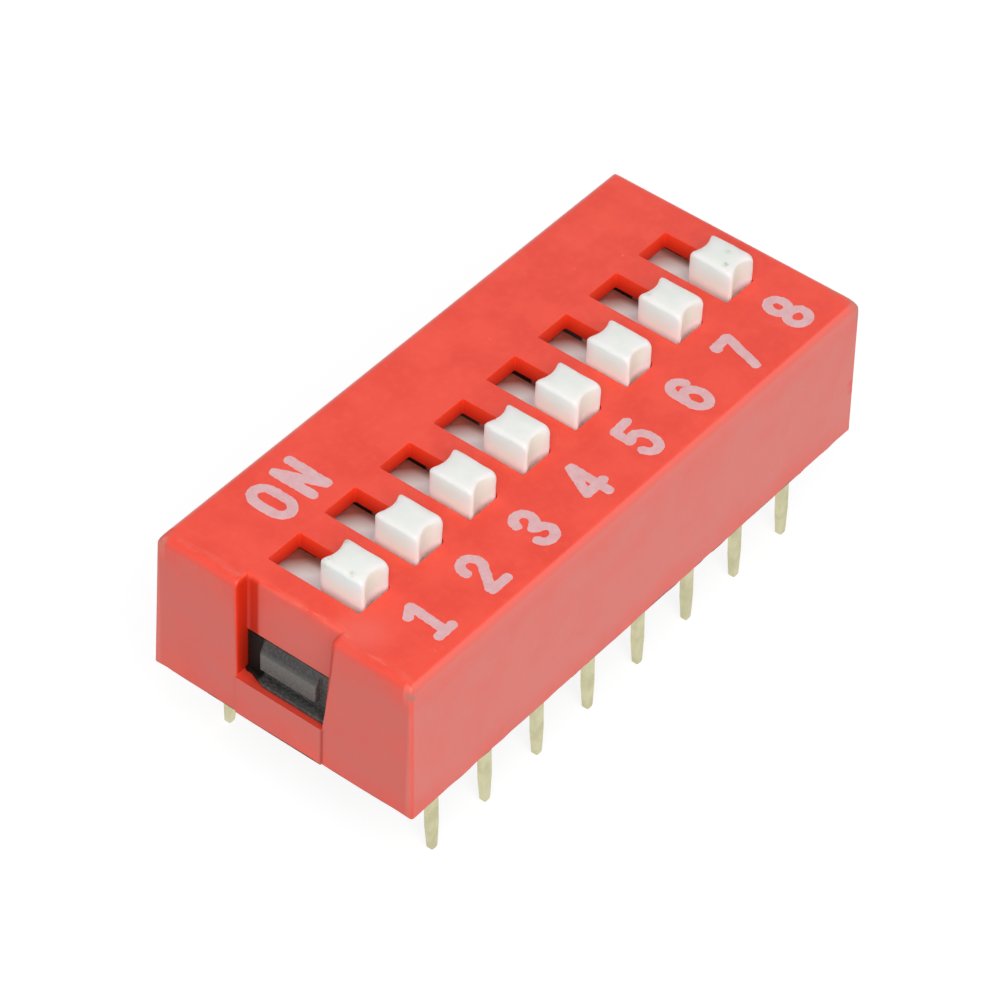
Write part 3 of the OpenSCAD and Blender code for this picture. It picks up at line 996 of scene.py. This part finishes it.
def drawn_to_skin(p, half):
    """Where the line from the knob's core through a place meets the knob's skin."""
    q = Vector((
        clamp(p.x, KNOB_CORE - half.x, half.x - KNOB_CORE),
        clamp(p.y, KNOB_CORE - half.y, half.y - KNOB_CORE),
        min(p.z, KNOB_TOP - KNOB_CORE),
    ))
    way = (p - q).normalized()
    low, high = 0.0, 1.2 * KNOB_CORE * math.sqrt(3)
    for _ in range(SEARCH_STEPS):
        reach = (low + high) / 2
        if knob_distance(q + way * reach) < 0:
            low = reach
        else:
            high = reach
    return q + way * low


def spread(low, high, count):
    """Places from low to high, closer together near both ends."""
    turns = [math.pi * k / count for k in range(count + 1)]
    return [low + (high - low) * (0.5 - 0.5 * math.cos(a)) for a in turns]


def knob_skin(bm):
    """The knob above its slider, as a grid drawn onto the skin. Returns its lowest ring of vertices."""
    columns, rows, layers = KNOB_GRID
    half = Vector((KNOB_L / 2, KNOB_W / 2))
    xs, ys = spread(-half.x, half.x, columns), spread(-half.y, half.y, rows)
    rise = KNOB_TOP - SLIDER_TOP
    zs = [SLIDER_TOP + rise * math.sin(math.pi / 2 * k / layers) for k in range(layers + 1)]

    def vert(x, y, z):
        return bm.verts.new(drawn_to_skin(Vector((x, y, z)), half))

    rim = [(x, ys[0]) for x in xs[:-1]] + [(xs[-1], y) for y in ys[:-1]]
    rim += [(x, ys[-1]) for x in xs[:0:-1]] + [(xs[0], y) for y in ys[:0:-1]]
    rings = [[vert(x, y, z) for x, y in rim] for z in zs]
    for low_ring, high_ring in zip(rings, rings[1:]):
        for (low_0, low_1), (high_0, high_1) in zip(around(low_ring), around(high_ring)):
            bm.faces.new((low_0, low_1, high_1, high_0))
    cap = dict(zip(rim, rings[-1]))
    for x in xs[1:-1]:
        for y in ys[1:-1]:
            cap[x, y] = vert(x, y, zs[-1])
    for x0, x1 in zip(xs, xs[1:]):
        for y0, y1 in zip(ys, ys[1:]):
            bm.faces.new((cap[x0, y0], cap[x1, y0], cap[x1, y1], cap[x0, y1]))
    return rings[0]


def knob_mesh():
    """A knob on its slider, with its middle at x = 0 and y = 0."""
    bm = bmesh.new()
    ring = knob_skin(bm)
    pocket_top = SLIDER_FOOT + POCKET_H
    profile = [
        (-SLIDER_HALF_L, SLIDER_FOOT),
        (-POCKET_L / 2, SLIDER_FOOT),
        (-POCKET_L / 2, pocket_top),
        (POCKET_L / 2, pocket_top),
        (POCKET_L / 2, SLIDER_FOOT),
        (SLIDER_HALF_L, SLIDER_FOOT),
        (SLIDER_HALF_L, SLIDER_TOP),
        (-SLIDER_HALF_L, SLIDER_TOP),
    ]
    near, far = add_prism(bm, profile, -SLIDER_HALF_W, SLIDER_HALF_W, open_side=len(profile) - 2)
    border = [near[-2], near[-1], far[-1], far[-2]]
    edges = [bm.edges.get(pair) or bm.edges.new(pair) for pair in around(border)]
    edges += [bm.edges.get(pair) for pair in around(ring)]
    bmesh.ops.triangle_fill(bm, use_beauty=True, edges=edges)
    return bm


def fit_slider(bm, off_centre):
    """Spreads a slider a little towards the sides of its guide that it lies far from.

    One that lies at its guide's far side stands a little higher too, so it meets the slot's wall.
    """
    lift = SLIDER_LIFT if off_centre > 0.05 else 0.0
    for v in [v for v in bm.verts if v.co.z < SLIDER_TOP + TINY]:
        if v.co.z > SLIDER_TOP - TINY:
            v.co.z += lift
        if abs(v.co.y) > SLIDER_HALF_W - 0.01:
            side = math.copysign(1, v.co.y)
            gap = SLOT_HALF_W - SLIDER_HALF_W - side * off_centre
            v.co.y += side * 0.5 * max(0.0, gap - GUIDE_GAP)


def make_knobs(material):
    noise.seed_set(KNOB_SEED)
    shape = knob_mesh()
    for i, node in enumerate(numbered("knob"), 1):
        knob_x, knob_y = centre(node)
        top_z = mm_box(node)[1].z
        bm = shape.copy()
        for v in bm.verts:
            above_slot = clamp((v.co.z - TOP_Z) / 0.4)
            v.co += noise.noise_vector(v.co * 1.7 + Vector((5 * i, 0, 0))) * KNOB_WOBBLE * above_slot
            v.co.z = min(v.co.z, top_z)
        fit_slider(bm, knob_y - STATIONS[i - 1])
        bm.transform(Matrix.Translation((knob_x, knob_y, 0)))
        piece = to_object(f"white_knob_{i}", bm, material)
        dress(piece, f"slider_{i}", "knob_white", node)
    shape.free()


# ---------------------------------------------------------------- printed marks

INK_STEP = 0.02
INK_T = 0.01
INK_WEAR = 0.022
ARC_STEP = 12


def arc(u, v, ru, rv, start, end):
    """Points on part of an ellipse, with its angles in degrees from the reading direction."""
    count = max(4, round(abs(end - start) / ARC_STEP))
    turns = [math.radians(start + (end - start) * k / count) for k in range(count + 1)]
    return [(u + ru * math.cos(a), v + rv * math.sin(a)) for a in turns]


# A mark is a list of strokes. u runs in the reading direction from its middle, and v up from its foot.
DIGITS = (
    ([(-0.18, 1.32), (0.2, 1.53)], [(0.21, 1.52), (0.12, 0.18)], [(-0.18, 0.16), (0.42, 0.17)]),
    (arc(0.08, 1.21, 0.33, 0.35, 190, -35) + [(-0.25, 0.26)], [(-0.25, 0.17), (0.42, 0.17)]),
    (
        arc(0.02, 1.24, 0.31, 0.32, 175, -75),
        [(-0.04, 0.85), (0.16, 0.85)],
        arc(0.01, 0.46, 0.34, 0.3, 80, -175),
    ),
    ([(0.15, 1.58), (-0.38, 0.55)], [(-0.38, 0.54), (0.42, 0.56)], [(0.21, 1.58), (0.17, 0.16)]),
    (
        [(-0.28, 1.53), (0.33, 1.56)],
        [(-0.28, 1.53), (-0.3, 0.95)],
        arc(-0.02, 0.59, 0.34, 0.46, 130, -160),
    ),
    (arc(0.02, 1.11, 0.32, 0.42, 20, 180) + [(-0.32, 0.6)], arc(0.01, 0.59, 0.33, 0.44, 0, 360)),
    ([(-0.34, 1.42), (-0.34, 1.5), (0.28, 1.53)], [(0.3, 1.5), (0.02, 0.6), (-0.13, 0.12)]),
    (arc(-0.06, 1.18, 0.3, 0.34, 0, 360), arc(-0.03, 0.43, 0.36, 0.33, 0, 360)),
)
LETTER_O = (arc(0, 1.15, 0.36, 0.46, 0, 180) + arc(0, 0.65, 0.36, 0.46, 180, 360) + [(0.36, 1.15)],)
LETTER_N = ([(-0.35, 0.17), (-0.35, 1.63)], [(-0.35, 1.65), (0.27, 0.2)], [(0.33, 1.66), (0.3, 0.2)])

DIGIT_FOOT_X = 4.21
DIGIT_SHIFT_Y = 0.25
DIGIT_HALF_STROKE = 0.165
WORD_FOOT_X = -2.28
WORD_HALF_STROKE = 0.175
WORD_O_Y = -7.72
WORD_N_Y = -6.37
WORD_SEED = 20


def to_stroke(u, v, stroke):
    """Distance from a point to a stroke's middle line."""
    best = 1e9
    for (u0, v0), (u1, v1) in zip(stroke, stroke[1:]):
        du, dv = u1 - u0, v1 - v0
        long2 = du * du + dv * dv or 1e-12
        t = clamp(((u - u0) * du + (v - v0) * dv) / long2)
        best = min(best, math.hypot(u - u0 - t * du, v - v0 - t * dv))
    return best


def ragged(u, v, seed):
    """Coarse and fine noise across the print."""
    coarse = noise.noise(Vector((7 * u, 7 * v, seed)))
    return coarse + 0.6 * noise.noise(Vector((16 * u, 16 * v, seed)))


def ink_field(strokes, half_stroke, seed):
    """How far inside the ink each point of a grid lies, and the grid's first corner."""
    points = [point for stroke in strokes for point in stroke]
    margin = half_stroke + 3 * INK_WEAR
    u_low, v_low = (min(p[k] for p in points) - margin for k in range(2))
    u_high, v_high = (max(p[k] for p in points) + margin for k in range(2))
    columns = math.ceil((u_high - u_low) / INK_STEP)
    rows = math.ceil((v_high - v_low) / INK_STEP)

    def inked(i, j):
        u, v = u_low + i * INK_STEP, v_low + j * INK_STEP
        off_line = min(to_stroke(u, v, stroke) for stroke in strokes)
        return half_stroke - off_line + INK_WEAR * ragged(u, v, seed)

    field = [[inked(i, j) for j in range(rows + 1)] for i in range(columns + 1)]
    return field, u_low, v_low


def ink_mesh(strokes, half_stroke, seed):
    """A thin film over the strokes, with its edge a little ragged, drawn cell by cell."""
    field, u_low, v_low = ink_field(strokes, half_stroke, seed)
    bm = bmesh.new()
    verts = {}

    def vert(key, i, j):
        if key not in verts:
            verts[key] = bm.verts.new((u_low + i * INK_STEP, v_low + j * INK_STEP, 0))
        return verts[key]

    def add_cell(i, j):
        """Adds what is inked of a cell, cut where the ink's edge crosses its sides."""
        ring = []
        for (i0, j0), (i1, j1) in around([(i, j), (i + 1, j), (i + 1, j + 1), (i, j + 1)]):
            f0, f1 = field[i0][j0], field[i1][j1]
            if f0 > 0:
                ring.append(vert((i0, j0), i0, j0))
            if (f0 > 0) != (f1 > 0):
                t = f0 / (f0 - f1)
                key = tuple(sorted(((i0, j0), (i1, j1))))
                ring.append(vert(key, i0 + t * (i1 - i0), j0 + t * (j1 - j0)))
        if len(ring) > 2:
            bm.faces.new(ring)

    for i in range(len(field) - 1):
        for j in range(len(field[0]) - 1):
            add_cell(i, j)
    bmesh.ops.dissolve_limit(bm, angle_limit=FLAT_ANGLE, verts=bm.verts, edges=bm.edges)
    made = bmesh.ops.extrude_face_region(bm, geom=bm.faces[:])
    for item in made["geom"]:
        if isinstance(item, bmesh.types.BMVert):
            item.co.z -= 2 * INK_T
    return bm


def print_mark(name, strokes, half_stroke, foot_x, y, seed, material):
    """Prints a mark on the cover's top. It reads along +Y, with its foot towards +X."""
    bm = ink_mesh(strokes, half_stroke, seed)
    reading = Matrix(((0, -1, 0, foot_x), (1, 0, 0, y), (0, 0, 1, TOP_Z + INK_T), (0, 0, 0, 1)))
    bm.transform(reading)
    piece = to_object(name, bm, material)
    dress(piece, "housing", "knob_white")


def make_print(material):
    for i, strokes in enumerate(DIGITS[:POSITIONS]):
        y = STATIONS[i] + DIGIT_SHIFT_Y
        print_mark(f"print_{i + 1}", strokes, DIGIT_HALF_STROKE, DIGIT_FOOT_X, y, i, material)
    for name, strokes, y in (("print_o", LETTER_O, WORD_O_Y), ("print_n", LETTER_N, WORD_N_Y)):
        print_mark(name, strokes, WORD_HALF_STROKE, WORD_FOOT_X, y, WORD_SEED + y, material)


# ---------------------------------------------------------------- stage, lights and camera

WORLD_FILL = 0.27
HORIZON_FILL = 0.9
KEY_PLACE = (141, -145, 220)
KEY_SIZE = 220
KEY_LEVEL = 0.765
FLOOR_HALF = 600
FLOOR_GAP = 0.002
FLOOR_GREY = 0.3         # of the floor that lights the part
SHADOW_GREY = 0.25       # of the floor that is seen, whose glow makes it up to white where no shadow falls
FLOOR_GLOW = 0.83
CAMERA_AZIMUTH = 36.467
CAMERA_ELEVATION = 43.945
CAMERA_ROLL = 2.943
CAMERA_DISTANCE = 141.83
CAMERA_TARGET = (0.113, -0.906, 2.5)
CAMERA_FOCAL = 4.6646    # focal length as a multiple of the sensor's width
SENSOR_WIDTH = 36.0
WHITE = (1, 1, 1)


def seen_directly(graph):
    """1 for rays that show a surface as it is, to the camera or in a reflection or through glass."""
    path = graph.node("ShaderNodeLightPath")
    names = ("Is Camera Ray", "Is Glossy Ray", "Is Transmission Ray")
    return graph.most(*(path.outputs[name] for name in names))


def make_world():
    """Light from all round, stronger near the horizon, behind a ground that looks plain white."""
    world = bpy.data.worlds.new("studio")
    bpy.context.scene.world = world
    world.use_nodes = True
    graph = Graph(world.node_tree)
    height = graph.parts(graph.node("ShaderNodeTexCoord").outputs["Generated"])[2]
    below_zenith = graph.math("SUBTRACT", 1.0, height, clamp=True)
    level = graph.scaled(graph.math("POWER", below_zenith, 2.0), HORIZON_FILL, WORLD_FILL)
    fill = graph.shader("ShaderNodeBackground", Color=WHITE, Strength=level)
    plain = graph.shader("ShaderNodeBackground", Color=WHITE, Strength=1.0)
    graph.output("ShaderNodeOutputWorld", graph.choose(seen_directly(graph), fill, plain))


def floor_material():
    """White where the floor is open, with the part's soft shadow on it, and plain white in a reflection."""
    material = bpy.data.materials.new("white_floor")
    material.use_nodes = True
    graph = Graph(material.node_tree)
    for_light = graph.shader("ShaderNodeBsdfDiffuse", Color=[FLOOR_GREY] * 3)
    shadowed = graph.shader("ShaderNodeBsdfDiffuse", Color=[SHADOW_GREY] * 3)
    glow = graph.shader("ShaderNodeEmission", Color=WHITE, Strength=FLOOR_GLOW)
    for_eye = graph.node("ShaderNodeAddShader", {0: shadowed, 1: glow})
    surface = graph.choose(seen_directly(graph), for_light, for_eye.outputs[0])
    mirrored = graph.shader("ShaderNodeEmission", Color=WHITE, Strength=1.0)
    in_mirror = graph.node("ShaderNodeLightPath").outputs["Is Glossy Ray"]
    graph.output("ShaderNodeOutputMaterial", graph.choose(in_mirror, surface, mirrored))
    return material


def make_floor():
    half, z = FLOOR_HALF * MM, (FLOOR_Z - FLOOR_GAP) * MM
    corners = [(-half, -half, z), (half, -half, z), (half, half, z), (-half, half, z)]
    mesh = bpy.data.meshes.new("floor")
    mesh.from_pydata(corners, [], [(0, 1, 2, 3)])
    mesh.materials.append(floor_material())
    floor = link_object("floor", mesh)


def make_lamp(name, place, size, level):
    """A square lamp aimed at the part, which lights a white face turned to it at that level."""
    light = bpy.data.lights.new(name, "AREA")
    light.shape = "SQUARE"
    light.size = size * MM
    light.energy = level * (math.pi * Vector(place).length * MM) ** 2
    lamp = link_object(name, light)
    lamp.location = Vector(place) * MM
    lamp.rotation_mode = "QUATERNION"
    lamp.rotation_quaternion = Vector(place).to_track_quat("Z", "Y")


def make_camera():
    azimuth, elevation, roll = map(math.radians, (CAMERA_AZIMUTH, CAMERA_ELEVATION, CAMERA_ROLL))
    back = Vector((
        math.sin(azimuth) * math.cos(elevation),
        -math.cos(azimuth) * math.cos(elevation),
        math.sin(elevation),
    ))
    right = Vector((0, 0, 1)).cross(back).normalized()
    rolled = Matrix.Rotation(roll, 3, back)
    turn = Matrix((rolled @ right, rolled @ back.cross(right), back)).transposed()
    place = (Vector(CAMERA_TARGET) + CAMERA_DISTANCE * back) * MM
    camera_data = bpy.data.cameras.new("camera")
    camera_data.sensor_width = SENSOR_WIDTH
    camera_data.lens = CAMERA_FOCAL * SENSOR_WIDTH
    camera_data.clip_start = 0.01
    camera_data.clip_end = 10.0
    camera = link_object("camera", camera_data)
    camera.matrix_world = Matrix.Translation(place) @ turn.to_4x4()
    bpy.context.scene.camera = camera


# ---------------------------------------------------------------- the scene

bpy.context.scene.view_settings.view_transform = "Standard"
make_camera()
make_world()
make_floor()
make_lamp("key", KEY_PLACE, KEY_SIZE, KEY_LEVEL)

make_cover(red_plastic())
make_base(black_plastic())
make_knobs(white_plastic())
terminal_metal = plated_metal("terminal_metal_finish", (0.66, 0.63, 0.40), (0.56, 0.53, 0.32))
contact_metal = plated_metal("contact_metal_finish", (0.80, 0.66, 0.36), (0.70, 0.56, 0.30))
make_terminals(terminal_metal)
for contact in numbered("contact"):
    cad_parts[contact].data.materials[0] = contact_metal
make_print(pale_ink())
